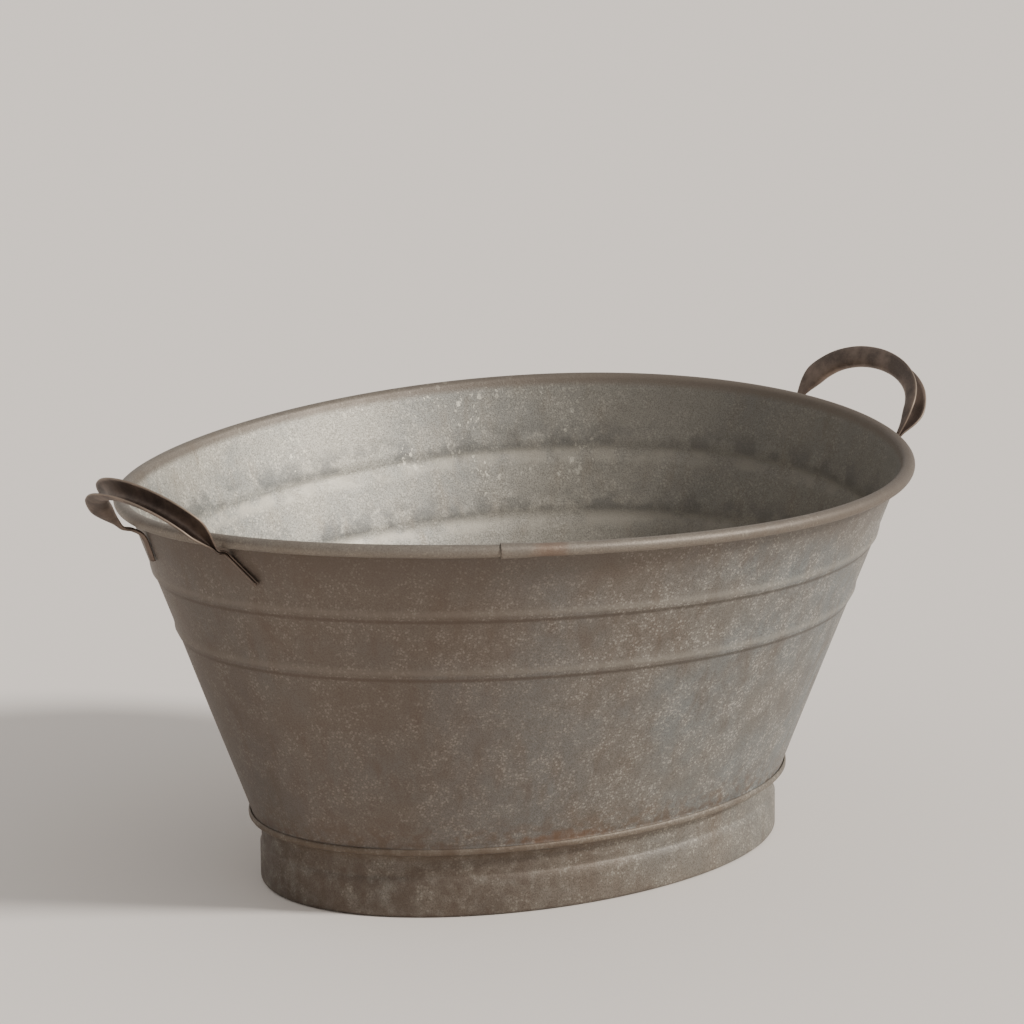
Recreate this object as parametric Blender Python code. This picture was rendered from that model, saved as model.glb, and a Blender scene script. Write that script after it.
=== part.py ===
"""An oval galvanised wash tub with two fixed handles, built from separate sheet-metal pieces.

Metres, +Z up. The long axis is X, the short axis is Y, and the tub stands on z = 0 with its centre on
the Z axis. A section of the tub is drawn flat as (out, up) points: up is the height, and out is measured
outwards from the foot of the flared wall, where it is 0, to the middle of the curled rim, where it is
FLARE. The same section is then carried round the oval.
"""
import math

import bmesh
import bpy
from mathutils import Vector

# the curled rim, measured to the middle of its wire
RIM_HALF_LENGTH = 0.3250
RIM_HALF_WIDTH = 0.2702
RIM_HEIGHT = 0.3067
RIM_TWIST = 0.0071          # an old tub is out of true: one diagonal of the rim stands higher

# the foot of the flared wall, where it is seamed to the bottom pan and the foot ring
SEAM_HALF_LENGTH = 0.2311
SEAM_HALF_WIDTH = 0.1606
SEAM_HEIGHT = 0.0548

FLARE = RIM_HALF_LENGTH - SEAM_HALF_LENGTH
SHEET = 0.0010              # galvanised sheet
GAP = 0.0003                # between two pieces that touch
STEPS = 72                  # round the whole oval

WIRE_RADIUS = 0.0037
CURL_RADIUS = WIRE_RADIUS + GAP + SHEET / 2
WALL_SLOPE = math.atan2(FLARE - CURL_RADIUS, RIM_HEIGHT - SEAM_HEIGHT)

SIDE_SEAM = math.radians(-125)      # where the two side sheets meet, and again half a turn on
RIB_HEIGHTS = (0.2045, 0.2530)
RIB_HALF_HEIGHT = 0.0070
RIB_DEPTH = 0.0016

# the layers of the bottom seam, one on the next
LAYER = SHEET + GAP
SEAM_REACH = 0.0016
PAN_DEPTH = 0.0050
NECK_OUT = -0.0065
BAND_OUT = -0.0055
GROOVE_HEIGHT = 0.0325
PAN_INSET = 0.0010           # between the foot ring's neck and the pan's pressed-down wall
PAN_DRAFT = 0.0015
PAN_FLOOR_RIM = 0.0080

# the handles: a folded strip, drawn in a plane that leans outwards from the rim. They were bent and set by
# hand, so each has its own places along Y, in its own frame, for its two legs and for the ends of their tails
RIGHT_LEGS = (-0.0715, 0.0525)
RIGHT_TAILS = (-0.0775, 0.0585)
LEFT_LEGS = (-0.0620, 0.0580)
LEFT_TAILS = (-0.0620, 0.0760)
HANDLE_RISE = 0.0593
HANDLE_LEAN = math.radians(45)
ARCH_WIDENING = 1.01        # the loop is a little wider than its feet
ARCH_FULLNESS = 0.68        # below 1 the loop is fuller than a half oval
STRIP = 0.0012
GUTTER_HALF_WIDTH = 0.0079
GUTTER_DEPTH = 0.0145
SHANK_HALF_WIDTH = 0.0016
SHANK_DEPTH = 0.0044
SWELL_START = 0.000         # the shares of the loop's length between which a shank opens into the gutter
SWELL_END = 0.150
TAIL_DROP = 0.0340
TAIL_TOP_DROP = 0.0150
TAIL_CLEARANCE = 0.0007
UNDER_ROLL = (0.0010, -0.0085)      # the shank's middle, from the middle of the curled rim
BESIDE_ROLL = (0.0095, -0.0060)


def clear_scene():
    for item in list(bpy.data.objects):
        bpy.data.objects.remove(item, do_unlink=True)


def material(name, colour, roughness, metallic):
    made = bpy.data.materials.new(name)
    made.use_nodes = True
    shader = made.node_tree.nodes["Principled BSDF"]
    shader.inputs["Base Color"].default_value = (*colour, 1.0)
    shader.inputs["Roughness"].default_value = roughness
    shader.inputs["Metallic"].default_value = metallic
    return made


def oval(half_length, half_width, angle):
    return Vector((half_length * math.cos(angle), half_width * math.sin(angle), 0.0))


def place(angle, out, up):
    """Where the point (out, up) of a section lies at this angle round the tub."""
    foot = oval(SEAM_HALF_LENGTH, SEAM_HALF_WIDTH, angle)
    rim = oval(RIM_HALF_LENGTH, RIM_HALF_WIDTH, angle)
    point = foot.lerp(rim, out / FLARE)
    lift = RIM_TWIST * math.sin(2 * angle) * min(max(out / FLARE, 0.0), 1.0)
    return Vector((point.x, point.y, up + lift))


def strip_outline(line, thickness):
    """The closed outline of a sheet of this thickness that follows an open line of (out, up) points."""
    left = []
    right = []
    for index, (out, up) in enumerate(line):
        before = line[max(index - 1, 0)]
        after = line[min(index + 1, len(line) - 1)]
        first = Vector((out - before[0], up - before[1]))
        second = Vector((after[0] - out, after[1] - up))
        if index == 0:
            first = second
        if index == len(line) - 1:
            second = first
        first.normalize()
        second.normalize()
        along = (first + second).normalized()
        reach = thickness / 2 / max(along.dot(first), 0.5)
        left.append((out - along.y * reach, up + along.x * reach))
        right.append((out + along.y * reach, up - along.x * reach))
    return left + right[::-1]


def loft(name, rings, closed, look, collection):
    """Skins a row of rings with equal counts of points. An open row is of sheet sections, and each end
    is closed by a ladder of faces from one side of the sheet to the other."""
    mesh = bmesh.new()
    made = [[mesh.verts.new(point) for point in ring] for ring in rings]
    count = len(rings[0])
    pairs = list(zip(made, made[1:] + made[:1])) if closed else list(zip(made, made[1:]))
    for ring, following in pairs:
        for index in range(count):
            after = (index + 1) % count
            mesh.faces.new((ring[index], ring[after], following[after], following[index]))
    if not closed:
        for ring in (made[0], made[-1]):
            for index in range(count // 2 - 1):
                mesh.faces.new((ring[index], ring[index + 1], ring[-index - 2], ring[-index - 1]))
    bmesh.ops.recalc_face_normals(mesh, faces=mesh.faces[:])
    return finish(name, mesh, look, collection)


def finish(name, mesh, look, collection):
    data = bpy.data.meshes.new(name)
    mesh.to_mesh(data)
    mesh.free()
    data.materials.append(look)
    for face in data.polygons:
        face.use_smooth = True
    made = bpy.data.objects.new(name, data)
    collection.objects.link(made)
    return made


def carried_round(outline, first, last, steps):
    """The outline of a section at each angle from first to last."""
    angles = [first + (last - first) * step / steps for step in range(steps + 1)]
    return [[place(angle, out, up) for out, up in outline] for angle in angles]


def wall_out(up):
    """How far out the middle of the plain wall is at this height."""
    return (up - SEAM_HEIGHT) * math.tan(WALL_SLOPE)


def side_sheet_line():
    """Bottom flange, sloping wall with two swaged ribs, and the curl over the rim wire."""
    line = [(SEAM_REACH, SEAM_HEIGHT), (0.0002, SEAM_HEIGHT)]
    for height in RIB_HEIGHTS:
        for step in (-1.0, -0.5, 0.0, 0.5, 1.0):
            up = height + step * RIB_HALF_HEIGHT
            bulge = RIB_DEPTH * math.cos(step * math.pi / 2) ** 2
            line.append((wall_out(up) + bulge, up))
    first = math.pi - WALL_SLOPE
    last = math.radians(-140)
    turns = 10
    for step in range(turns + 1):
        turn = first + (last - first) * step / turns
        line.append((FLARE + CURL_RADIUS * math.cos(turn), RIM_HEIGHT + CURL_RADIUS * math.sin(turn)))
    return line


def foot_ring_line():
    """From the lip over the seam, round its outside, in to the neck, and down to the turned-in edge."""
    hook_out = SEAM_REACH + SHEET / 2 + GAP + SHEET / 2
    lip_up = SEAM_HEIGHT + LAYER
    under_up = SEAM_HEIGHT - 2 * LAYER - GAP
    return [
        (hook_out - 0.0008, lip_up),
        (hook_out, lip_up),
        (hook_out, under_up),
        (-0.0010, under_up - 0.0002),
        (-0.0045, under_up - 0.0022),
        (NECK_OUT, under_up - 0.0065),
        (NECK_OUT, GROOVE_HEIGHT + 0.0025),
        (NECK_OUT - 0.0006, GROOVE_HEIGHT),
        (BAND_OUT, GROOVE_HEIGHT - 0.0025),
        (BAND_OUT, 0.0030),
        (BAND_OUT - 0.0010, SHEET / 2 + 0.0004),
        (BAND_OUT - 0.0025, SHEET / 2),
        (BAND_OUT - 0.0085, SHEET / 2),
    ]


def side_sheets(collection):
    """Two sheets, each half of the wall, that meet in a soldered seam on each long side."""
    outline = strip_outline(side_sheet_line(), SHEET)
    half_gap = GAP / 2 / SEAM_HALF_WIDTH
    for name, start in (("near_side_sheet", SIDE_SEAM), ("far_side_sheet", SIDE_SEAM + math.pi)):
        look = material(name, (0.30, 0.29, 0.27), 0.55, 0.85)
        rings = carried_round(outline, start + half_gap, start + math.pi - half_gap, STEPS // 2)
        loft(name, rings, False, look, collection)


def rim_wire(collection):
    """The round wire that stiffens the rim, inside the curl."""
    sides = 8
    turns = [2 * math.pi * side / sides for side in range(sides)]
    outline = [
        (FLARE + WIRE_RADIUS * math.cos(turn), RIM_HEIGHT + WIRE_RADIUS * math.sin(turn)) for turn in turns
    ]
    rings = carried_round(outline, 0.0, 2 * math.pi, STEPS)[:-1]
    loft("rim_wire", rings, True, material("rim_wire", (0.16, 0.13, 0.11), 0.6, 0.8), collection)


def bottom_pan(collection):
    """The oval bottom, pressed down inside its flange."""
    flange_up = SEAM_HEIGHT - LAYER
    floor_up = flange_up - PAN_DEPTH
    wall_at = NECK_OUT - SHEET / 2 - GAP - PAN_INSET
    line = [
        (SEAM_REACH, flange_up),
        (wall_at, flange_up),
        (wall_at - PAN_DRAFT, floor_up),
        (wall_at - PAN_FLOOR_RIM, floor_up),
    ]
    outline = strip_outline(line, SHEET)
    rings = carried_round(outline, 0.0, 2 * math.pi, STEPS)[:-1]
    mesh = bmesh.new()
    made = [[mesh.verts.new(point) for point in ring] for ring in rings]
    inner = len(line) - 1
    count = len(outline)
    for ring, following in zip(made, made[1:] + made[:1]):
        for index in range(count):
            if index != inner:
                after = (index + 1) % count
                mesh.faces.new((ring[index], ring[after], following[after], following[index]))
    mesh.faces.new([ring[inner] for ring in made])
    mesh.faces.new([ring[inner + 1] for ring in made])
    bmesh.ops.recalc_face_normals(mesh, faces=mesh.faces[:])
    finish("bottom_pan", mesh, material("bottom_pan", (0.27, 0.26, 0.25), 0.6, 0.85), collection)


def foot_ring(collection):
    """The band that the tub stands on. Its top edge is folded round the flanges of the side sheets and pan."""
    outline = strip_outline(foot_ring_line(), SHEET)
    rings = carried_round(outline, 0.0, 2 * math.pi, STEPS)[:-1]
    loft("foot_ring", rings, True, material("foot_ring", (0.25, 0.21, 0.17), 0.65, 0.8), collection)


def rim_angle(across):
    """The angle round the tub at which the rim is this far from the long axis."""
    angle = across / RIM_HALF_WIDTH
    for _ in range(20):
        angle += (across - place(angle, FLARE, 0.0).y) / RIM_HALF_WIDTH
    return angle


def leg_points(leg, tail):
    """The shank of one leg, from its end on the wall to where it leaves the rim."""
    angle = rim_angle(leg)
    splayed = rim_angle(tail)
    stand_off = SHEET / 2 + GAP + SHANK_HALF_WIDTH + TAIL_CLEARANCE
    end_up = RIM_HEIGHT - TAIL_DROP
    top_up = RIM_HEIGHT - TAIL_TOP_DROP
    return [
        place(splayed, wall_out(end_up) + stand_off, end_up),
        place(angle, wall_out(top_up) + stand_off, top_up),
        place(angle, FLARE + UNDER_ROLL[0], RIM_HEIGHT + UNDER_ROLL[1]),
        place(angle, FLARE + BESIDE_ROLL[0], RIM_HEIGHT + BESIDE_ROLL[1]),
    ]


def smooth_path(points, parts):
    """A Catmull-Rom curve through the points, each stretch cut into parts."""
    padded = [points[0] * 2 - points[1]] + points + [points[-1] * 2 - points[-2]]
    path = []
    for index in range(1, len(padded) - 2):
        before, start, end, after = padded[index - 1:index + 3]
        for part in range(parts):
            t = part / parts
            path.append(
                0.5 * (2 * start + (end - before) * t + (2 * before - 5 * start + 4 * end - after) * t ** 2
                       + (3 * start - before - 3 * end + after) * t ** 3)
            )
    return path + [points[-1]]


def gutter_section(half_width, depth):
    """A strip folded to a half-round gutter, as (in, across) points. It is open on its outer side."""
    turns = [math.radians(-90 + 30 * step) for step in range(7)]
    outer = [(depth * (math.cos(turn) - 0.5), half_width * math.sin(turn)) for turn in turns]
    inner = [
        (STRIP + (depth - 2 * STRIP) * math.cos(turn) - depth / 2, (half_width - STRIP) * math.sin(turn))
        for turn in turns
    ]
    inner[0] = (-depth / 2, -(half_width - STRIP))
    inner[-1] = (-depth / 2, half_width - STRIP)
    return outer + inner[::-1]


def handle(name, turned, legs, tails, collection):
    """One leaf-shaped strip, folded along its length: a gutter for the hand, closed to a shank at each end."""
    near = leg_points(legs[0], tails[0])
    far = leg_points(legs[1], tails[1])
    middle = (near[-1] + far[-1]) / 2
    across = (far[-1] - near[-1]) / 2
    rise = Vector((math.sin(HANDLE_LEAN), 0.0, math.cos(HANDLE_LEAN))) * HANDLE_RISE
    spans = 12
    arch = []
    for span in range(1, spans):
        turn = math.pi * (1 - math.cos(math.pi * span / spans)) / 2
        arch.append(middle - across * math.cos(turn) * ARCH_WIDENING + rise * math.sin(turn) ** ARCH_FULLNESS)
    parts = 3
    path = smooth_path(near + arch + far[::-1], parts)
    shank = (len(near) - 1) * parts
    run = [0.0]
    for start, end in zip(path, path[1:]):
        run.append(run[-1] + (end - start).length)
    loop = run[-1 - shank] - run[shank]
    face = rise.cross(across).normalized()
    rings = []
    for index, point in enumerate(path):
        after = path[min(index + 1, len(path) - 1)]
        before = path[max(index - 1, 0)]
        along = (after - before).normalized()
        share = (run[index] - run[shank]) / loop
        inward = face.cross(along)
        if share < 0.0:
            inward = Vector((0.0, 1.0, 0.0))
        if share > 1.0:
            inward = Vector((0.0, -1.0, 0.0))
        inward = (inward - along * inward.dot(along)).normalized()
        sideways = along.cross(inward)
        swell = (min(share, 1.0 - share) - SWELL_START) / (SWELL_END - SWELL_START)
        swell = min(max(swell, 0.0), 1.0)
        swell = swell * swell * (3 - 2 * swell)
        half_width = SHANK_HALF_WIDTH + (GUTTER_HALF_WIDTH - SHANK_HALF_WIDTH) * swell
        depth = SHANK_DEPTH + (GUTTER_DEPTH - SHANK_DEPTH) * swell
        rings.append([point + inward * x + sideways * y for x, y in gutter_section(half_width, depth)])
    made = loft(name, rings, False, material(name, (0.10, 0.075, 0.055), 0.5, 0.75), collection)
    made.rotation_euler = (0.0, 0.0, turned)


def build():
    clear_scene()
    collection = bpy.data.collections.new("wash_tub")
    bpy.context.scene.collection.children.link(collection)
    side_sheets(collection)
    rim_wire(collection)
    bottom_pan(collection)
    foot_ring(collection)
    handle("right_handle", 0.0, RIGHT_LEGS, RIGHT_TAILS, collection)
    handle("left_handle", math.pi, LEFT_LEGS, LEFT_TAILS, collection)


build()
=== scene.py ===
"""An old oval wash tub of galvanised sheet: two flared side sheets rolled over a rim wire, a bottom pan,
a foot ring folded over the bottom seam, and two handles folded from leaf-shaped strips."""
import math

import bmesh
import bpy
from mathutils import Matrix, Vector, noise


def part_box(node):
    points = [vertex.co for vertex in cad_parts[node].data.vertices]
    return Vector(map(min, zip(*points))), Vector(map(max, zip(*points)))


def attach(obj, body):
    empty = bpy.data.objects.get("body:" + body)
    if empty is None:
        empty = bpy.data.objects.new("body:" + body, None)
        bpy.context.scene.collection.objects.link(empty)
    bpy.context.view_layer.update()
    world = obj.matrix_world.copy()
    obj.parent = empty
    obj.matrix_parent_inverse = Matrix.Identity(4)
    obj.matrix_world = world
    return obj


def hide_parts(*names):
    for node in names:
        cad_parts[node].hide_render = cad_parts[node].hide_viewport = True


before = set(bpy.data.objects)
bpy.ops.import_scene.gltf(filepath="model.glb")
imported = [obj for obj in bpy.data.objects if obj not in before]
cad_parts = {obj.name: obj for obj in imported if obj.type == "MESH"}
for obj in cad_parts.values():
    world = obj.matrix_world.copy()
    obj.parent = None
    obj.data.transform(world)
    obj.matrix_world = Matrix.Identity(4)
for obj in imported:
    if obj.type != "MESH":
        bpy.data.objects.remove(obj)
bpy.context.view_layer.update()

# The camera stands well back, a little above the rim, and looks along the tub from its left front.
VIEW_AZIMUTH = math.radians(37.36)
VIEW_ELEVATION = math.radians(13.68)
VIEW_ROLL = math.radians(0.46)
VIEW_DISTANCE = 4.668
VIEW_LENS = 210.9
AIM_HEIGHT = 0.2721
AIM_RIGHT = -0.0052

forward = Vector((
    math.sin(VIEW_AZIMUTH) * math.cos(VIEW_ELEVATION),
    math.cos(VIEW_AZIMUTH) * math.cos(VIEW_ELEVATION),
    -math.sin(VIEW_ELEVATION),
))
level_right = Vector((math.cos(VIEW_AZIMUTH), -math.sin(VIEW_AZIMUTH), 0.0))
aim = level_right * AIM_RIGHT + Vector((0.0, 0.0, AIM_HEIGHT))
turn = forward.to_track_quat("-Z", "Y").to_matrix().to_4x4()
camera_data = bpy.data.cameras.new("camera")
camera_data.lens = VIEW_LENS
camera_data.clip_end = 50.0
camera = bpy.data.objects.new("camera", camera_data)
camera.matrix_world = turn
camera.rotation_euler.rotate_axis("Z", -VIEW_ROLL)
camera.location = aim - forward * VIEW_DISTANCE
bpy.context.scene.collection.objects.link(camera)
bpy.context.scene.camera = camera


# Side sheets. Two galvanised sheets, each half of the flared wall, butt and are soldered on the long sides.
# Each is swaged with two ribs that stiffen it, and its top edge is rolled outwards over the rim wire.
SHEET = 0.0010
WIRE_RADIUS = 0.0037
CLEARANCE = 0.0003
CURL_RADIUS = WIRE_RADIUS + CLEARANCE + SHEET / 2
SEAM_PROUD = 0.0034          # how far the folded bottom seam stands out from the wall's foot
SEAM_LIP = 0.0021            # and how far its lip stands above the wall's foot
SIDE_SEAM = math.radians(-125)
RIB_HEIGHTS = (0.2045, 0.2530)
RIB_DEPTH = 0.0015
RIB_BELOW = 0.0058
RIB_ABOVE = 0.0085
WALL_STEP = 0.0042
TURNS_ROUND = 132            # steps in half the oval
EDGE_STRIP = 0.03            # the row of points by a butt joint is this share of a step away from it
DENT = 0.0007
DENT_SIZE = 0.11
FLANGE = 0.0016              # how far the wall's bottom flange reaches into the bottom seam
LAP_LENGTH = 0.030           # how far along the rim the one roll opens, and the other closes, to lap
LAP_OPENS = 0.0009
LAP_CLOSES = -0.0002
STIFF_FOOT = 0.05            # the wall keeps its shape this near to its foot and to its rim
STIFF_RIM = 0.03
CURL_END = math.radians(-140)
CURL_STEPS = 22

wire_low, wire_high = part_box("rim_wire")
foot_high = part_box("foot_ring")[1]
RIM_REACH = wire_high.x - WIRE_RADIUS
RIM_HEIGHT = (wire_low.z + wire_high.z) / 2
RIM_TWIST = (wire_high.z - wire_low.z) / 2 - WIRE_RADIUS
SEAM_REACH = foot_high.x - SEAM_PROUD
SEAM_HEIGHT = foot_high.z - SEAM_LIP
WIDENING = (wire_high.y - foot_high.y) / (wire_high.x - foot_high.x)
WALL_LEAN = math.atan2(RIM_REACH - CURL_RADIUS - SEAM_REACH, RIM_HEIGHT - SEAM_HEIGHT)


def to_oval(reach, angle, up):
    """Where a point of the section at y = 0 lies when the section is carried round the oval."""
    half_width = foot_high.y + (reach - foot_high.x) * WIDENING
    share = min(max((reach - SEAM_REACH) / (RIM_REACH - SEAM_REACH), 0.0), 1.0)
    lift = RIM_TWIST * math.sin(2 * angle) * share
    return Vector((reach * math.cos(angle), half_width * math.sin(angle), up + lift))


def wall_reach(up):
    return SEAM_REACH + (up - SEAM_HEIGHT) * math.tan(WALL_LEAN)


def rib(up):
    """How far the wall is pressed outwards at this height. A rib is steeper on its under side."""
    bulge = 0.0
    for height in RIB_HEIGHTS:
        side = (up - height) / (RIB_ABOVE if up > height else RIB_BELOW)
        if abs(side) < 1.0:
            bulge += RIB_DEPTH * math.cos(side * math.pi / 2) ** 2
    return bulge


def spun(points, first, sweep, steps):
    """A new mesh of the section, a row of (reach, up, run) points, turned about Z. The run is a point's height
    on the wall, and past the wall's top it goes on with the length of metal. It is kept as an attribute."""
    mesh = bmesh.new()
    run = mesh.verts.layers.float.new("run")
    row = []
    for reach, up, along in points:
        row.append(mesh.verts.new((reach * math.cos(first), reach * math.sin(first), up)))
        row[-1][run] = along
    for start, end in zip(row, row[1:]):
        mesh.edges.new((start, end))
    full = abs(sweep - 2 * math.pi) < 1e-6
    bmesh.ops.spin(
        mesh, geom=mesh.verts[:] + mesh.edges[:], axis=(0, 0, 1), cent=(0, 0, 0), angle=sweep, steps=steps,
        use_merge=full,
    )
    return mesh


def piece(name, mesh, looks, replaced, thickness):
    """Makes the object of a thin sheet piece, with its faces turned away from the middle of the tub. The sheet
    lies evenly on both sides of the mesh, and the last look goes on its inside."""
    bmesh.ops.recalc_face_normals(mesh, faces=mesh.faces[:])
    mesh.normal_update()
    facing = 0.0
    for face in mesh.faces:
        middle = face.calc_center_median()
        facing += face.normal.dot(Vector((middle.x, middle.y, 0.0))) * face.calc_area()
    if facing < 0.0:
        bmesh.ops.reverse_faces(mesh, faces=mesh.faces[:])
    data = bpy.data.meshes.new(name)
    mesh.to_mesh(data)
    mesh.free()
    data.shade_smooth()
    for look in looks:
        data.materials.append(look)
    made = bpy.data.objects.new(name, data)
    bpy.context.scene.collection.objects.link(made)
    wall = made.modifiers.new("sheet thickness", "SOLIDIFY")
    wall.thickness = thickness
    wall.offset = 0.0
    wall.use_even_offset = True
    wall.material_offset = len(looks) - 1
    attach(made, "root")
    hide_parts(replaced)
    return made


def hex_colour(code):
    """An sRGB hex colour as the linear colour that a shader takes."""
    channels = [int(code[place:place + 2], 16) / 255 for place in (1, 3, 5)]
    linear = [c / 12.92 if c <= 0.04045 else ((c + 0.055) / 1.055) ** 2.4 for c in channels]
    return (*linear, 1.0)


def add(tree, kind, links, **settings):
    """Adds a node. links gives an input's name or number its value or the socket that feeds it."""
    node = tree.nodes.new(kind)
    for name, value in settings.items():
        setattr(node, name, value)
    for name, value in links.items():
        if isinstance(value, bpy.types.NodeSocket):
            tree.links.new(value, node.inputs[name])
        else:
            node.inputs[name].default_value = value
    return node


def stain(tree, under, code, strength, *bands):
    """Lays a hex colour over the colour so far: real stains, and also the painted shade and painted highlights
    below. Each band is a value and the two levels between which it lets the new colour in: none at the first
    level, all of it at the second."""
    amount = strength
    for value, shut, full in bands:
        let_in = add(
            tree, "ShaderNodeMapRange", {"Value": value, "From Min": shut, "From Max": full},
            interpolation_type="SMOOTHSTEP",
        )
        amount = add(
            tree, "ShaderNodeMath", {0: let_in.outputs["Result"], 1: amount}, operation="MULTIPLY"
        ).outputs[0]
    mixed = add(
        tree, "ShaderNodeMix", {0: amount, 6: under, 7: hex_colour(code)}, data_type="RGBA", clamp_factor=True
    )
    return mixed.outputs[2]


def old_zinc(name, grey, cool, brown, pale, brown_from, pale_share, roughness):
    """Hot-dip zinc gone dull: grey carbonate in clouds, brown iron stain coming through, pale flecks of the
    old spangle, and a dry, finely pitted surface. Returns the material, its tree, the object coordinates and
    the colour so far."""
    made = bpy.data.materials.new(name)
    made.use_nodes = True
    tree = made.node_tree
    shader = tree.nodes["Principled BSDF"]
    where = add(tree, "ShaderNodeTexCoord", {}).outputs["Object"]
    # clouds of 100 mm and blots of 20 mm
    clouds = add(tree, "ShaderNodeTexNoise", {"Vector": where, "Scale": 10.0, "Detail": 4.0, "Roughness": 0.55})
    blots = add(tree, "ShaderNodeTexNoise", {"Vector": where, "Scale": 48.0, "Detail": 5.0, "Roughness": 0.62})
    blot = blots.outputs["Fac"]
    # runs of rust and dirt, 12 mm wide and about ten times as long down the wall
    down = add(tree, "ShaderNodeMapping", {"Vector": where, "Scale": (1.0, 1.0, 0.10)}).outputs["Vector"]
    runs = add(tree, "ShaderNodeTexNoise", {"Vector": down, "Scale": 85.0, "Detail": 3.0, "Roughness": 0.5})
    # grain of 1 mm
    grain = add(tree, "ShaderNodeTexNoise", {"Vector": where, "Scale": 900.0, "Detail": 2.0, "Roughness": 0.7})
    # flecks: one in some of the 2 mm cells of a random net, whose lines the grain bends
    bent = add(
        tree, "ShaderNodeVectorMath", {0: grain.outputs["Color"], 1: (0.0016, 0.0016, 0.0016)},
        operation="MULTIPLY",
    ).outputs[0]
    moved = add(tree, "ShaderNodeVectorMath", {0: where, 1: bent}, operation="ADD").outputs[0]
    cells = add(tree, "ShaderNodeTexVoronoi", {"Vector": moved, "Scale": 520.0})
    chance = add(tree, "ShaderNodeSeparateColor", {"Color": cells.outputs["Color"]}).outputs["Red"]

    colour = stain(tree, hex_colour(grey), cool, 1.0, (clouds.outputs["Fac"], 0.38, 0.64))
    iron = add(
        tree, "ShaderNodeMath", {0: clouds.outputs["Color"], 1: runs.outputs["Fac"]}, operation="ADD"
    ).outputs[0]
    colour = stain(tree, colour, brown, 0.62, (iron, brown_from, brown_from + 0.50))
    colour = stain(tree, colour, pale, 0.30, (blot, 0.36, 0.74))
    colour = stain(tree, colour, "#3f3a34", 0.46, (grain.outputs["Fac"], 0.56, 0.38))
    colour = stain(
        tree, colour, pale, 0.80,
        (chance, 1.0 - pale_share, 1.03 - pale_share),
        (cells.outputs["Distance"], 0.62, 0.34),
        (blot, 0.36, 0.62),
    )

    rough = add(
        tree, "ShaderNodeMapRange", {"Value": blot, "To Min": roughness - 0.14, "To Max": roughness + 0.14}
    )
    tree.links.new(rough.outputs["Result"], shader.inputs["Roughness"])
    shader.inputs["Metallic"].default_value = 0.55
    height = add(
        tree, "ShaderNodeMath", {0: blot, 1: 1.6, 2: grain.outputs["Fac"]}, operation="MULTIPLY_ADD"
    ).outputs[0]
    bump = add(tree, "ShaderNodeBump", {"Height": height, "Strength": 0.55, "Distance": 0.0004})
    tree.links.new(bump.outputs["Normal"], shader.inputs["Normal"])
    return made, tree, where, colour


def spot_at(tree, where, centre, size, ragged):
    """A band for stain: open within size of the centre, with a ragged edge."""
    apart = add(tree, "ShaderNodeVectorMath", {0: where, 1: centre}, operation="SUBTRACT").outputs[0]
    inverse = [1.0 / side for side in size]
    scaled = add(tree, "ShaderNodeVectorMath", {0: apart, 1: inverse}, operation="MULTIPLY").outputs[0]
    length = add(tree, "ShaderNodeVectorMath", {0: scaled}, operation="LENGTH").outputs["Value"]
    depth = add(tree, "ShaderNodeMath", {0: ragged, 1: length}, operation="SUBTRACT").outputs[0]
    return depth, -0.45, 0.15


def colour_to(made, colour):
    """Sends the finished colour to the material's shader."""
    made.node_tree.links.new(colour, made.node_tree.nodes["Principled BSDF"].inputs["Base Color"])
    return made


def outside_zinc():
    """Weathered galvanised sheet, outside: dull olive grey, brown along the bottom seam and in a patch at the
    left front, where water stood in the fold and the zinc is gone. Painted shade darkens the left end and the
    wall under the rim; each rib has a painted highlight along its crest and a dark line under it, partly dirt
    and partly painted shade."""
    made, tree, where, colour = old_zinc(
        "weathered_zinc_outside", "#7b7770", "#7d8180", "#66574a", "#b3afa6", 0.90, 0.34, 0.52
    )
    run = add(tree, "ShaderNodeAttribute", {}, attribute_name="run").outputs["Fac"]
    ragged = add(tree, "ShaderNodeTexNoise", {"Vector": where, "Scale": 120.0, "Detail": 5.0}).outputs["Fac"]
    colour = stain(
        tree, colour, "#644f3d", 0.55, (run, SEAM_HEIGHT + 0.035, SEAM_HEIGHT), (ragged, 0.42, 0.62)
    )
    # each rib has a painted highlight along its crest, where it faces up to the light, and under it a dark line
    # that is partly dirt in the crease and partly painted shade
    for height in RIB_HEIGHTS:
        colour = stain(
            tree, colour, "#aaa69b", 0.34,
            (run, height - 0.0020, height + 0.0010), (run, height + 0.0065, height + 0.0015),
        )
        colour = stain(
            tree, colour, "#3f3830", 0.62,
            (run, height - 0.0072, height - 0.0052), (run, height - 0.0024, height - 0.0044),
        )
    # painted shade: the outside is darker and browner towards the left end, which is turned from the key light
    left = add(tree, "ShaderNodeSeparateXYZ", {"Vector": where}).outputs["X"]
    colour = stain(tree, colour, "#58493e", 0.68, (left, 0.08, -0.24))
    # painted shade: the wall darkens towards the overhanging roll under the rim
    colour = stain(tree, colour, "#544940", 0.55, (run, RIM_HEIGHT - 0.045, RIM_HEIGHT - 0.004))
    rusted = to_oval(SEAM_REACH, math.radians(-110), SEAM_HEIGHT + 0.004)
    colour = stain(tree, colour, "#7a553a", 0.32, spot_at(tree, where, rusted, (0.05, 0.05, 0.008), ragged))
    return colour_to(made, colour)


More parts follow.
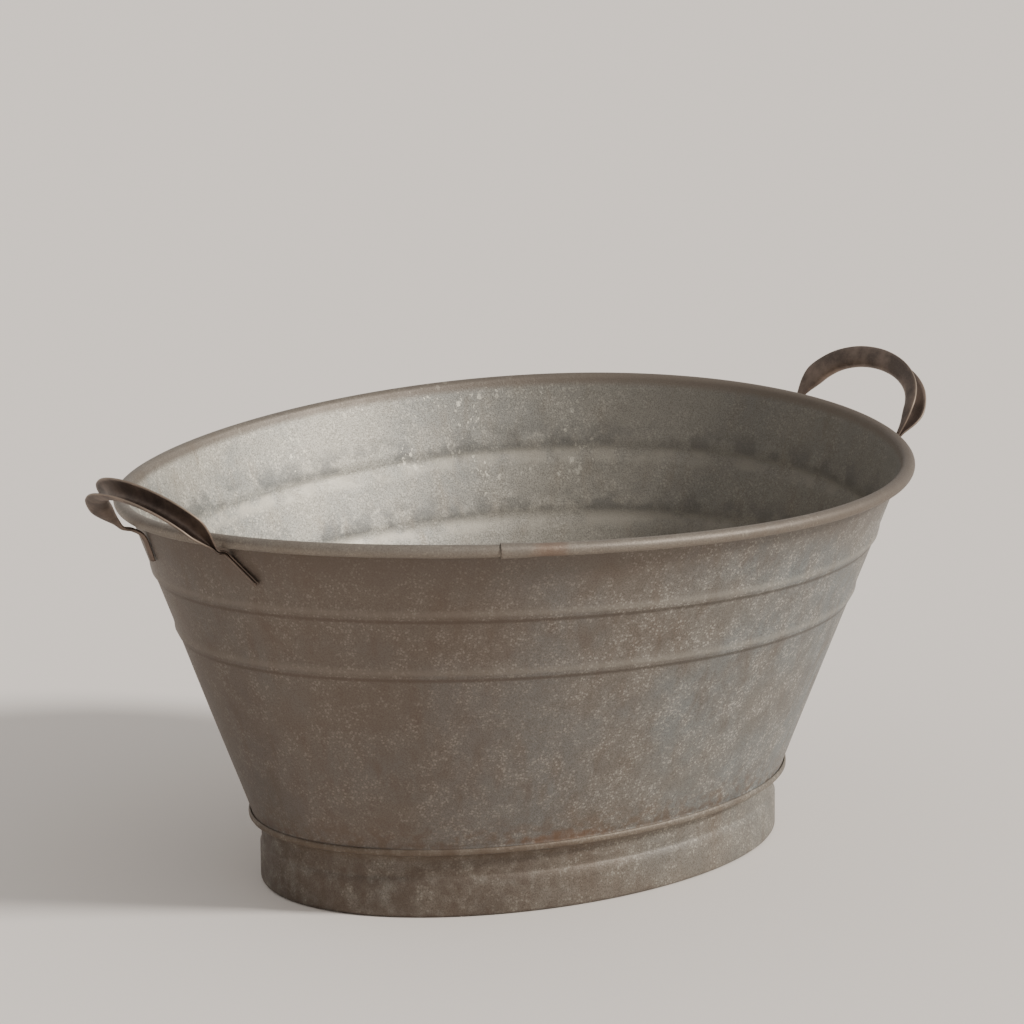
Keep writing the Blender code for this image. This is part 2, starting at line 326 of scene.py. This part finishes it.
def inside_zinc():
    """The same sheet inside, where hard water dried: paler, with lime in spots and in a line along each rib,
    and dark wet stains. The line along each rib is also a painted highlight, and painted shade darkens the
    right end. The roll at the top is the same face of the sheet, worn and rusty."""
    made, tree, where, colour = old_zinc(
        "limed_zinc_inside", "#bcb7aa", "#adaca4", "#9c8970", "#ddd7c8", 0.96, 0.42, 0.56
    )
    run = add(tree, "ShaderNodeAttribute", {}, attribute_name="run").outputs["Fac"]
    ragged = add(tree, "ShaderNodeTexNoise", {"Vector": where, "Scale": 60.0, "Detail": 5.0}).outputs["Fac"]
    broken = (ragged, 0.40, 0.60)
    # along each rib a dark band of stain above, and a pale band on the rib's lower slope that is lime and also
    # a painted highlight where the slope faces up to the light
    for height in RIB_HEIGHTS:
        colour = stain(
            tree, colour, "#5e605f", 0.60,
            (run, height - 0.002, height + 0.008), (run, height + 0.030, height + 0.010), broken,
        )
        colour = stain(
            tree, colour, "#cdc6b6", 0.70,
            (run, height - 0.012, height - 0.004), (run, height + 0.007, height), broken,
        )
    # mostly painted shade, partly brown-grey stain: the inside is darker towards the right end, which is turned
    # from the key light
    right = add(tree, "ShaderNodeSeparateXYZ", {"Vector": where}).outputs["X"]
    colour = stain(tree, colour, "#57524c", 0.78, (right, -0.14, 0.30))
    # lime spots of 1 to 4 mm, in two nets whose cells are longer down the wall
    tall = add(tree, "ShaderNodeMapping", {"Vector": where, "Scale": (1.0, 1.0, 0.7)}).outputs["Vector"]
    bend = add(tree, "ShaderNodeTexNoise", {"Vector": where, "Scale": 300.0, "Detail": 2.0}).outputs["Color"]
    bend = add(
        tree, "ShaderNodeVectorMath", {0: bend, 1: (0.004, 0.004, 0.004)}, operation="MULTIPLY"
    ).outputs[0]
    tall = add(tree, "ShaderNodeVectorMath", {0: tall, 1: bend}, operation="ADD").outputs[0]
    crowd = add(tree, "ShaderNodeTexNoise", {"Vector": where, "Scale": 22.0, "Detail": 3.0}).outputs["Fac"]
    for net, share in ((190.0, 0.50), (380.0, 0.45)):
        spots = add(tree, "ShaderNodeTexVoronoi", {"Vector": tall, "Scale": net})
        chance = add(tree, "ShaderNodeSeparateColor", {"Color": spots.outputs["Color"]}).outputs["Green"]
        size = add(
            tree, "ShaderNodeMapRange", {"Value": chance, "From Min": share, "To Min": 0.0, "To Max": 0.40}
        ).outputs["Result"]
        within = add(
            tree, "ShaderNodeMath", {0: size, 1: spots.outputs["Distance"]}, operation="SUBTRACT"
        ).outputs[0]
        colour = stain(
            tree, colour, "#d9d3c2", 1.0,
            (within, -0.02, 0.05), (run, 0.190, 0.250), (crowd, 0.46, 0.62), (right, 0.26, 0.06),
        )
    rolled = (run, RIM_HEIGHT - 0.006, RIM_HEIGHT - 0.001)
    colour = stain(tree, colour, "#685d53", 0.80, rolled)
    rusted = to_oval(RIM_REACH, math.radians(-118), RIM_HEIGHT)
    colour = stain(
        tree, colour, "#7a5a46", 0.38, spot_at(tree, where, rusted, (0.020, 0.020, 0.020), ragged), rolled
    )
    return colour_to(made, colour)


def wall_section():
    """Bottom flange, wall with its ribs, and the roll over the wire, as (reach, up, run)."""
    points = [
        (SEAM_REACH + FLANGE, SEAM_HEIGHT, SEAM_HEIGHT - FLANGE),
        (SEAM_REACH + 0.0004, SEAM_HEIGHT, SEAM_HEIGHT),
    ]
    top = RIM_HEIGHT - 0.004
    steps = round((top - SEAM_HEIGHT) / WALL_STEP)
    for step in range(1, steps):
        up = SEAM_HEIGHT + (top - SEAM_HEIGHT) * step / steps
        points.append((wall_reach(up) + rib(up), up, up))
    first = math.pi - WALL_LEAN
    for step in range(CURL_STEPS + 1):
        curl = first + (CURL_END - first) * step / CURL_STEPS
        reach = RIM_REACH + CURL_RADIUS * math.cos(curl)
        up = RIM_HEIGHT + CURL_RADIUS * math.sin(curl)
        points.append((reach, up, RIM_HEIGHT + CURL_RADIUS * (first - curl)))
    return points


def carry_round(mesh, edge_angle, edge_shift):
    """Moves each point of the turned mesh out to the oval, with the shallow dents of use. Near edge_angle the
    roll is opened or closed by edge_shift, where one sheet's roll laps the other's."""
    step = math.pi / TURNS_ROUND
    for vert in mesh.verts:
        angle = math.atan2(vert.co.y, vert.co.x)
        reach = math.hypot(vert.co.x, vert.co.y)
        up = vert.co.z
        if edge_shift:
            past = (angle - edge_angle + math.pi / 2) % math.pi - math.pi / 2
            if abs(abs(past) - step) < step / 4:
                angle -= past * (1.0 - EDGE_STRIP)
        middle = Vector((reach - RIM_REACH, up - RIM_HEIGHT))
        if middle.length < 2 * CURL_RADIUS and edge_shift:
            away = abs((angle - edge_angle + math.pi) % (2 * math.pi) - math.pi) * RIM_REACH
            open_by = edge_shift * (1.0 - min(away / LAP_LENGTH, 1.0)) ** 0.5
            middle *= 1.0 + open_by / CURL_RADIUS
            reach, up = RIM_REACH + middle.x, RIM_HEIGHT + middle.y
        spot = to_oval(reach, angle, up)
        from_foot = min(max((up - SEAM_HEIGHT) / STIFF_FOOT, 0.0), 1.0)
        from_rim = min(max((RIM_HEIGHT - up) / STIFF_RIM, 0.0), 1.0)
        dent = DENT * from_foot * from_rim * noise.noise(spot / DENT_SIZE)
        outward = Vector((spot.x, spot.y * WIDENING, 0.0)).normalized()
        vert.co = spot + outward * dent


outside_look = outside_zinc()
inside_look = inside_zinc()
section = wall_section()
for sheet, start, shift in (
    ("near_side_sheet", SIDE_SEAM, LAP_OPENS),
    ("far_side_sheet", SIDE_SEAM + math.pi, LAP_CLOSES),
):
    wall_mesh = spun(section, start, math.pi, TURNS_ROUND)
    carry_round(wall_mesh, SIDE_SEAM, shift)
    piece("old_" + sheet, wall_mesh, [outside_look, inside_look], sheet, SHEET)


# Foot ring. A band of the same sheet that the tub stands on. Its top edge is folded over the flanges of the
# side sheets and the pan and hammered down, a swaged step runs round it, and its bottom edge is turned in.
NECK_REACH = SEAM_REACH - 0.0065
BAND_REACH = SEAM_REACH - 0.0055
GROOVE_HEIGHT = 0.0325
FOLD_ROUND = 0.0006          # how far the fold over the seam bulges
HEEL_WIDTH = 0.0028          # the bend at the bottom edge
HEEL_HEIGHT = 0.0034
TURNED_IN = 0.0085


def foot_section():
    """From the lip over the seam, round the fold, in to the neck, down the band and in under it."""
    fold = SEAM_REACH + SEAM_PROUD - SHEET / 2
    lip = SEAM_HEIGHT + SHEET + CLEARANCE
    under = SEAM_HEIGHT - 2 * (SHEET + CLEARANCE) - CLEARANCE
    outline = [(fold - 0.0010, lip)]
    for step in range(5):
        bend = math.pi / 2 - math.pi * step / 4
        up = (lip + under) / 2 + (lip - under) / 2 * math.sin(bend)
        outline.append((fold - FOLD_ROUND * (1 - math.cos(bend)), up))
    outline += [
        (SEAM_REACH - 0.0010, under - 0.0003),
        (SEAM_REACH - 0.0035, under - 0.0014),
        (SEAM_REACH - 0.0055, under - 0.0038),
        (NECK_REACH, under - 0.0075),
        (NECK_REACH, GROOVE_HEIGHT + 0.0070),
        (NECK_REACH - 0.0001, GROOVE_HEIGHT + 0.0030),
        (NECK_REACH - 0.0008, GROOVE_HEIGHT),
        (NECK_REACH - 0.0002, GROOVE_HEIGHT - 0.0018),
        (BAND_REACH, GROOVE_HEIGHT - 0.0045),
    ]
    for step in range(1, 5):
        outline.append((BAND_REACH, GROOVE_HEIGHT - 0.0045 - (GROOVE_HEIGHT - 0.0095) * step / 5))
    outline.append((BAND_REACH, HEEL_HEIGHT))
    for step in range(1, 5):
        bend = math.pi / 2 * step / 4
        up = HEEL_HEIGHT - (HEEL_HEIGHT - SHEET / 2) * math.sin(bend)
        outline.append((BAND_REACH - HEEL_WIDTH * (1 - math.cos(bend)), up))
    outline.append((BAND_REACH - TURNED_IN, SHEET / 2))
    return [(reach, up, up) for reach, up in outline]


def foot_zinc():
    """Galvanised sheet that stood on wet floors: the zinc is thin, and rust-brown stain shows through. Painted
    shade darkens its left end.
    """
    made, tree, where, colour = old_zinc(
        "rust_stained_zinc_foot", "#847d73", "#827f78", "#6b594a", "#aea99d", 0.92, 0.30, 0.58
    )
    ragged = add(tree, "ShaderNodeTexNoise", {"Vector": where, "Scale": 90.0, "Detail": 5.0}).outputs["Fac"]
    run = add(tree, "ShaderNodeAttribute", {}, attribute_name="run").outputs["Fac"]
    # painted shade: the foot ring is dark brown towards the left end, the side turned from the key light, laid
    # in ragged patches
    left = add(tree, "ShaderNodeSeparateXYZ", {"Vector": where}).outputs["X"]
    colour = stain(tree, colour, "#4c3d32", 0.80, (left, 0.12, -0.16), (ragged, -0.10, 0.70))
    colour = stain(tree, colour, "#6b5a48", 0.30, (run, SEAM_HEIGHT - 0.012, SEAM_HEIGHT - 0.003))
    return colour_to(made, colour)


foot_look = foot_zinc()
foot_mesh = spun(foot_section(), 0.0, 2 * math.pi, 2 * TURNS_ROUND)
carry_round(foot_mesh, 0.0, 0.0)
piece("old_foot_ring", foot_mesh, [foot_look], "foot_ring", SHEET)


# Bottom pan. The oval bottom is pressed down inside its flange, and the flange lies in the bottom seam. The
# floor of the pan has a low crown, as a pressed sheet keeps.
PAN_WALL_REACH = NECK_REACH - SHEET - CLEARANCE - 0.0010
PAN_DEPTH = 0.0050
PAN_CROWN = 0.0010
PAN_RINGS = 14


def pan_section():
    """From the flange in the seam, down the pressed wall and along the crowned floor to the middle."""
    flange = SEAM_HEIGHT - SHEET - CLEARANCE
    floor = flange - PAN_DEPTH
    outline = [
        (SEAM_REACH + FLANGE, flange),
        (PAN_WALL_REACH + 0.0006, flange),
        (PAN_WALL_REACH, flange - 0.0006),
        (PAN_WALL_REACH - 0.0012, floor + 0.0008),
        (PAN_WALL_REACH - 0.0022, floor),
    ]
    for ring in range(1, PAN_RINGS + 1):
        share = 1.0 - ring / PAN_RINGS
        outline.append(((PAN_WALL_REACH - 0.0022) * share, floor + PAN_CROWN * (1.0 - share ** 2)))
    return [(reach, up, up) for reach, up in outline]


def bottom_zinc():
    """Galvanised sheet under standing water: even grey, with more lime and iron stain than the walls."""
    made, tree, where, colour = old_zinc(
        "limed_zinc_bottom", "#97948c", "#8b9092", "#7b6650", "#cdc8ba", 0.90, 0.36, 0.55
    )
    return colour_to(made, colour)


pan_mesh = spun(pan_section(), 0.0, 2 * math.pi, 2 * TURNS_ROUND)
for vert in pan_mesh.verts:
    angle = math.atan2(vert.co.y, vert.co.x)
    reach = math.hypot(vert.co.x, vert.co.y)
    edge = max(reach, PAN_WALL_REACH)
    vert.co = to_oval(edge, angle, vert.co.z)
    vert.co.x *= reach / edge
    vert.co.y *= reach / edge
bmesh.ops.remove_doubles(pan_mesh, verts=pan_mesh.verts[:], dist=0.00002)
piece("old_bottom_pan", pan_mesh, [bottom_zinc()], "bottom_pan", SHEET)


# Rim wire. Round steel wire, all the way round inside the rolled rim. It only shows at the edge of the roll,
# so its plain CAD shape is kept and only takes a material.
def wire_steel():
    """Drawn steel wire, dull brown with rust."""
    made = bpy.data.materials.new("rusty_steel_wire")
    made.use_nodes = True
    tree = made.node_tree
    where = add(tree, "ShaderNodeTexCoord", {}).outputs["Object"]
    blots = add(tree, "ShaderNodeTexNoise", {"Vector": where, "Scale": 150.0, "Detail": 4.0}).outputs["Fac"]
    shader = tree.nodes["Principled BSDF"]
    shader.inputs["Metallic"].default_value = 0.6
    shader.inputs["Roughness"].default_value = 0.65
    return colour_to(made, stain(tree, hex_colour("#3a2f27"), "#6b4a33", 1.0, (blots, 0.35, 0.65)))


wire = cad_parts["rim_wire"]
wire.data.materials.clear()
wire.data.materials.append(wire_steel())


# Handles. Each is one leaf-shaped strip of steel, folded along its length: a half-round gutter for the hand,
# open on its outer side, that closes to a flat double shank at each end. The shanks are bent in under the
# rolled rim and soldered down the wall.
RIGHT_LEGS = (-0.0715, 0.0525)      # where the two legs are along Y, in the handle's own frame
RIGHT_TAILS = (-0.0775, 0.0585)     # and the lower ends of their shanks
LEFT_LEGS = (-0.0620, 0.0580)
LEFT_TAILS = (-0.0620, 0.0760)
RISE = 0.0593
LEAN = math.radians(45)
ARCH_WIDENING = 1.01
ARCH_FULLNESS = 0.68
STRIP = 0.0012
GUTTER_HALF_WIDTH = 0.0079
GUTTER_DEPTH = 0.0145
SHANK_HALF_WIDTH = 0.0016
SHANK_DEPTH = 0.0044
SWELL_SHARE = 0.150          # the share of the loop's length over which a shank opens into the gutter
TAIL_DROP = 0.0340
TAIL_TOP_DROP = 0.0150
UNDER_ROLL = (0.0010, -0.0085)      # the middle of the shank, from the middle of the roll
BESIDE_ROLL = (0.0095, -0.0060)
SOLDER = 0.0007
STAND_OFF = SHEET / 2 + CLEARANCE + SHANK_HALF_WIDTH + SOLDER
ARCH_SPANS = 12
ROWS_ALONG = 10              # to each stretch of the path
ROWS_ACROSS = 16


def rim_angle(across):
    """The angle round the tub at which the rim is this far from the long axis."""
    return math.asin(across / to_oval(RIM_REACH, math.pi / 2, 0.0).y)


def leg_points(leg, tail):
    """The middle of one shank, from its end on the wall to where it leaves the rim."""
    angle = rim_angle(leg)
    splayed = rim_angle(tail)
    end = RIM_HEIGHT - TAIL_DROP
    top = RIM_HEIGHT - TAIL_TOP_DROP
    return [
        to_oval(wall_reach(end) + STAND_OFF, splayed, end),
        to_oval(wall_reach(top) + STAND_OFF, angle, top),
        to_oval(RIM_REACH + UNDER_ROLL[0], angle, RIM_HEIGHT + UNDER_ROLL[1]),
        to_oval(RIM_REACH + BESIDE_ROLL[0], angle, RIM_HEIGHT + BESIDE_ROLL[1]),
    ]


def smooth_point(points, at):
    """A point of the Catmull-Rom curve through the points, at from 0 to their count less 1."""
    index = min(int(at), len(points) - 2)
    t = at - index
    start, end = points[index], points[index + 1]
    before = points[index - 1] if index else start * 2 - end
    after = points[index + 2] if index + 2 < len(points) else end * 2 - start
    return 0.5 * (2 * start + (end - before) * t + (2 * before - 5 * start + 4 * end - after) * t ** 2
                  + (3 * start - before - 3 * end + after) * t ** 3)


def handle_mesh(leg_places, tail_places):
    """The flat strip, as a grid, is carried along the handle's path and folded across it."""
    near, far = [leg_points(leg, tail) for leg, tail in zip(leg_places, tail_places)]
    middle = (near[-1] + far[-1]) / 2
    across = (far[-1] - near[-1]) / 2
    rise = Vector((math.sin(LEAN), 0.0, math.cos(LEAN))) * RISE
    face = rise.cross(across).normalized()
    arch = []
    for span in range(1, ARCH_SPANS):
        sweep = math.pi * (1 - math.cos(math.pi * span / ARCH_SPANS)) / 2
        arch.append(middle - across * math.cos(sweep) * ARCH_WIDENING + rise * math.sin(sweep) ** ARCH_FULLNESS)
    path = near + arch + far[::-1]
    last = len(path) - 1
    columns = last * ROWS_ALONG
    shank = (len(near) - 1) * ROWS_ALONG
    line = [smooth_point(path, last * column / columns) for column in range(columns + 1)]
    run = [0.0]
    for start, end in zip(line, line[1:]):
        run.append(run[-1] + (end - start).length)
    loop = run[-1 - shank] - run[shank]
    mesh = bmesh.new()
    open_layer = mesh.verts.layers.float.new("open")
    across_layer = mesh.verts.layers.float.new("across")
    bmesh.ops.create_grid(mesh, x_segments=columns, y_segments=ROWS_ACROSS, size=1.0)
    for vert in mesh.verts:
        at = (vert.co.x + 1.0) / 2 * last
        fold = vert.co.y
        point = smooth_point(path, at)
        ahead = smooth_point(path, min(at + 0.05, last))
        behind = smooth_point(path, max(at - 0.05, 0.0))
        along = (ahead - behind).normalized()
        share = (run[round(at * columns / last)] - run[shank]) / loop
        # on the shanks the fold lies level, and it turns into the loop's own plane just past them
        inward = face.cross(along)
        flat = Vector((0.0, -1.0 if share > 0.5 else 1.0, 0.0))
        blend = min(max(0.5 - min(share, 1.0 - share) / 0.04, 0.0), 1.0)
        inward = inward.lerp(flat, blend)
        inward = (inward - along * inward.dot(along)).normalized()
        sideways = along.cross(inward)
        swell = min(max(min(share, 1.0 - share) / SWELL_SHARE, 0.0), 1.0)
        swell = swell * swell * (3 - 2 * swell)
        vert[open_layer] = swell
        vert[across_layer] = fold
        half_width = SHANK_HALF_WIDTH + (GUTTER_HALF_WIDTH - SHANK_HALF_WIDTH) * swell - STRIP / 2
        depth = SHANK_DEPTH + (GUTTER_DEPTH - SHANK_DEPTH) * swell - STRIP / 2
        bend = fold * math.pi / 2
        vert.co = point + inward * (depth * (math.cos(bend) - 0.5)) + sideways * (half_width * math.sin(bend))
    return mesh


def dark_iron():
    """Strip steel, never galvanised: a brown-black oxide skin, paler along the raw edges of the gutter, where
    it is worn to bright metal and carries a painted highlight.
    """
    made = bpy.data.materials.new("browned_iron_strip")
    made.use_nodes = True
    tree = made.node_tree
    shader = tree.nodes["Principled BSDF"]
    where = add(tree, "ShaderNodeTexCoord", {}).outputs["Object"]
    clouds = add(
        tree, "ShaderNodeTexNoise", {"Vector": where, "Scale": 45.0, "Detail": 5.0, "Roughness": 0.6}
    ).outputs["Fac"]
    grain = add(tree, "ShaderNodeTexNoise", {"Vector": where, "Scale": 700.0, "Detail": 3.0}).outputs["Fac"]
    colour = stain(tree, hex_colour("#554a44"), "#7d6d62", 1.0, (clouds, 0.35, 0.68))
    colour = stain(tree, colour, "#75685b", 0.22, (grain, 0.45, 0.65))
    across = add(tree, "ShaderNodeAttribute", {}, attribute_name="across").outputs["Fac"]
    edge = add(tree, "ShaderNodeMath", {0: across}, operation="ABSOLUTE").outputs[0]
    gutter = add(tree, "ShaderNodeAttribute", {}, attribute_name="open").outputs["Fac"]
    # the raw edges of the gutter are paler: worn bright metal and a painted highlight where they catch the
    # light; the shanks under the rim get none
    worn_and_lit_edge = add(tree, "ShaderNodeMath", {0: gutter, 1: 0.55}, operation="MULTIPLY").outputs[0]
    colour = stain(tree, colour, "#a39383", worn_and_lit_edge, (edge, 0.965, 0.995))
    shader.inputs["Metallic"].default_value = 0.7
    rough = add(tree, "ShaderNodeMapRange", {"Value": clouds, "To Min": 0.62, "To Max": 0.42}).outputs["Result"]
    tree.links.new(rough, shader.inputs["Roughness"])
    bump = add(tree, "ShaderNodeBump", {"Height": grain, "Strength": 0.4, "Distance": 0.0002})
    tree.links.new(bump.outputs["Normal"], shader.inputs["Normal"])
    return colour_to(made, colour)


iron_look = dark_iron()
for node, turned, legs, tails in (
    ("right_handle", 0.0, RIGHT_LEGS, RIGHT_TAILS),
    ("left_handle", math.pi, LEFT_LEGS, LEFT_TAILS),
):
    strip = handle_mesh(legs, tails)
    bmesh.ops.rotate(strip, cent=(0, 0, 0), matrix=Matrix.Rotation(turned, 3, "Z"), verts=strip.verts[:])
    piece("old_" + node, strip, [iron_look], node, STRIP)


# Floor and light: a plain pale floor, a soft key light from the right and a pale surround that fills the rest.
FLOOR_SIZE = 30.0
KEY_DISTANCE = 4.0

floor_mesh = bmesh.new()
bmesh.ops.create_grid(floor_mesh, x_segments=1, y_segments=1, size=FLOOR_SIZE)
floor_data = bpy.data.meshes.new("floor")
floor_mesh.to_mesh(floor_data)
floor_mesh.free()
floor = bpy.data.objects.new("floor", floor_data)
bpy.context.scene.collection.objects.link(floor)
screed = bpy.data.materials.new("pale_screed")
screed.use_nodes = True
screed_shader = screed.node_tree.nodes["Principled BSDF"]
screed_shader.inputs["Base Color"].default_value = hex_colour("#e9e2db")
screed_shader.inputs["Roughness"].default_value = 0.85
floor_data.materials.append(screed)

toward_camera = Vector((-math.sin(VIEW_AZIMUTH), -math.cos(VIEW_AZIMUTH), 0.0))
key_from = (level_right * 0.86 + toward_camera * 0.28 + Vector((0.0, 0.0, 0.62))).normalized()
key_data = bpy.data.lights.new("key", "SUN")
key_data.energy = 3.6
key_data.angle = math.radians(9)
key_data.color = (1.0, 0.965, 0.92)
key = bpy.data.objects.new("key", key_data)
key.matrix_world = (-key_from).to_track_quat("-Z", "Y").to_matrix().to_4x4()
key.location = key_from * KEY_DISTANCE + Vector((0.0, 0.0, 0.2))
bpy.context.scene.collection.objects.link(key)

surround = bpy.data.worlds.new("surround")
surround.use_nodes = True
surround.node_tree.nodes["Background"].inputs["Color"].default_value = hex_colour("#e6e3e0")
surround.node_tree.nodes["Background"].inputs["Strength"].default_value = 0.85
bpy.context.scene.world = surround
